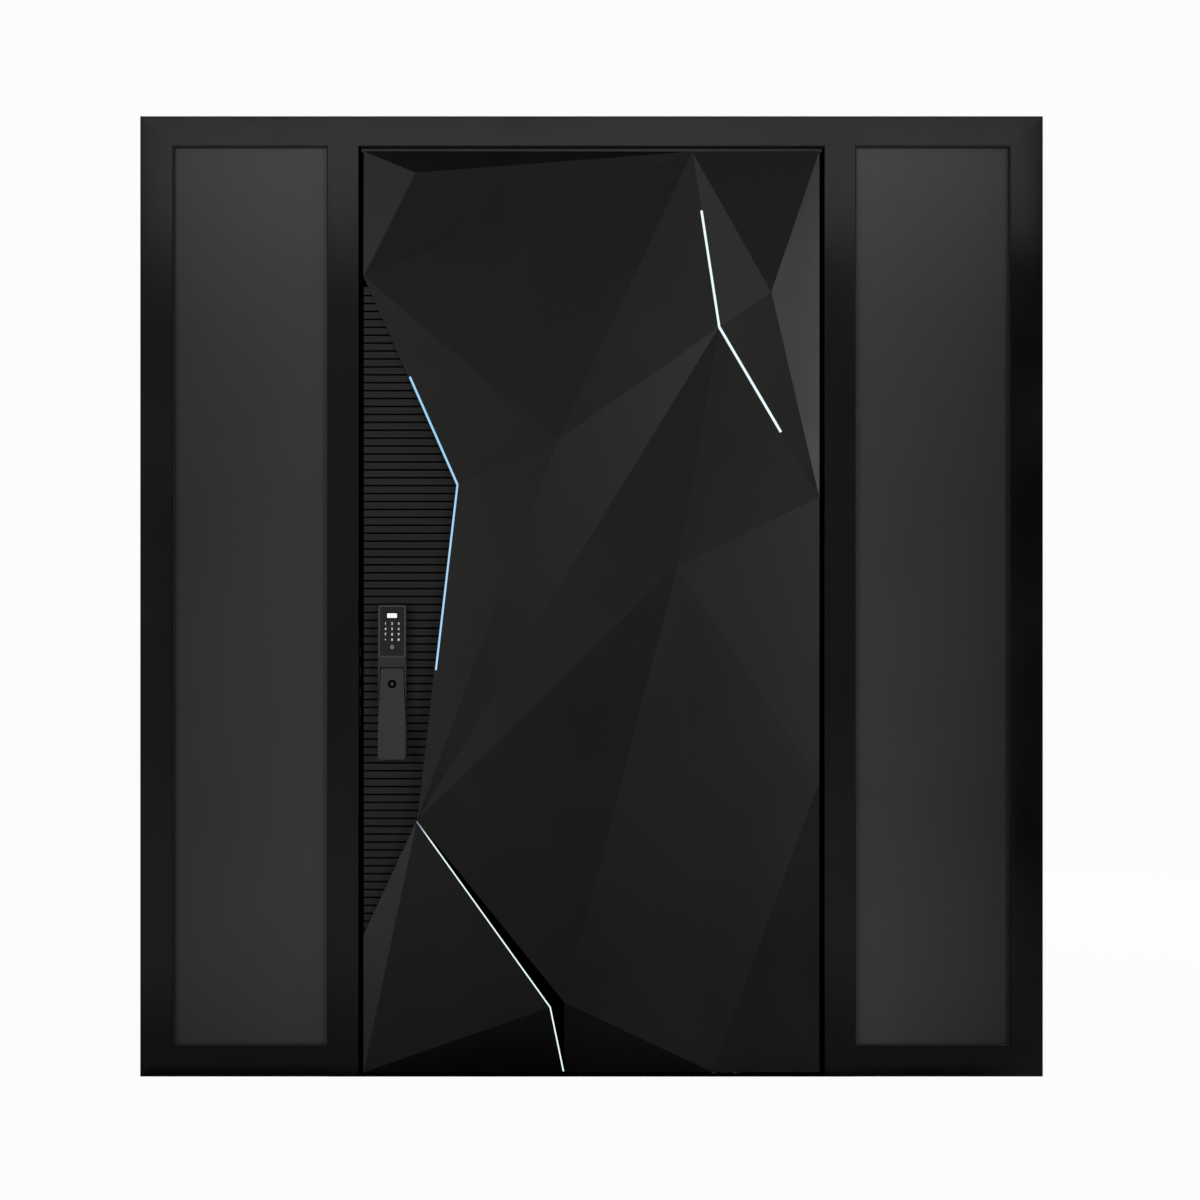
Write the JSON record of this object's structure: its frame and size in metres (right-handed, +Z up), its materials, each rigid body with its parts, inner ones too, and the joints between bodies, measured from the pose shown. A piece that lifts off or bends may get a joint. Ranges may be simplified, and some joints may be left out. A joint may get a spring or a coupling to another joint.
{
  "type": "pivot door",
  "caption": "Faceted dark metal entrance door that swings on a floor pivot, with a ribbed panel, light strips, a keypad lock and fixed glass side windows in a box frame.",
  "frame": {"origin": "on the underside of the threshold, midway between the mullions, on the plane of the leaf's pivot axis", "axes": "+X to the right seen from outside, +Y indoors, +Z up"},
  "size_m": [2.346, 0.2068, 2.496],
  "materials": {
    "frame_paint": "satin black powder coat",
    "bead_paint": "satin black powder coat, slightly darker",
    "leaf_paint": "satin black paint with a fine grain",
    "leaf_edge_paint": "satin black paint",
    "rib_paint": "matt black paint",
    "threshold_metal": "black anodised",
    "window_glass": "dark grey frosted",
    "gasket_rubber": "matt black",
    "hardware_steel": "brushed",
    "blue_light": "lit diffuser, sky blue",
    "white_light": "lit diffuser, cool white",
    "lock_metal": "dark grey satin",
    "keypad_gloss": "gloss black"
  },
  "bodies": {
    "frame": {"head_rail": "frame_paint", "left_jamb": "frame_paint", "right_jamb": "frame_paint", "left_mullion": "frame_paint", "right_mullion": "frame_paint", "left_bottom_rail": "frame_paint", "right_bottom_rail": "frame_paint", "threshold": "threshold_metal", "left_glass": "window_glass", "right_glass": "window_glass", "left_gaskets": "gasket_rubber", "right_gaskets": "gasket_rubber", "left_outer_beads": "bead_paint", "right_outer_beads": "bead_paint", "left_inner_beads": "bead_paint", "right_inner_beads": "bead_paint", "latch_stop": "frame_paint", "head_stop": "frame_paint", "stop_seals": "gasket_rubber", "gap_seals": "gasket_rubber", "strike_plate": "hardware_steel", "bottom_pivot": "hardware_steel", "top_pivot": "hardware_steel"},
    "leaf": {"latch_stile": "leaf_edge_paint", "pivot_stile": "leaf_edge_paint", "leaf_top_rail": "leaf_edge_paint", "leaf_bottom_rail": "leaf_edge_paint", "front_sheet": "leaf_edge_paint", "back_panel": "leaf_paint", "faceted_plate": "leaf_paint", "lower_plate": "leaf_paint", "ribbed_panel": "rib_paint", "left_light": "blue_light", "upper_light": "white_light", "lower_light": "white_light", "bottom_pivot_shoe": "hardware_steel", "top_pivot_socket": "hardware_steel", "foot_seals": "gasket_rubber", "lock_faceplate": "hardware_steel", "lock_bolts": "hardware_steel", "lock_body": "lock_metal", "lock_keypad": "keypad_gloss", "grip_pin": "hardware_steel", "inner_lock_body": "lock_metal", "thumb_turn": "lock_metal"},
    "grip": {"lock_grip": "lock_metal", "sensor_button": "keypad_gloss"}
  },
  "joints": [
    {"name": "leaf_swing", "type": "hinge", "parent": "frame", "child": "leaf", "pos_m": [0.347, 0, 0], "axis": [0, 0, 1], "range_deg": [0, 90]},
    {"name": "grip_pull", "type": "hinge", "parent": "leaf", "child": "grip", "pos_m": [-0.517, -0.071, 1.049], "axis": [-1, 0, 0], "range_deg": [0, 6], "stiffness_Nm_per_rad": 20}
  ]
}
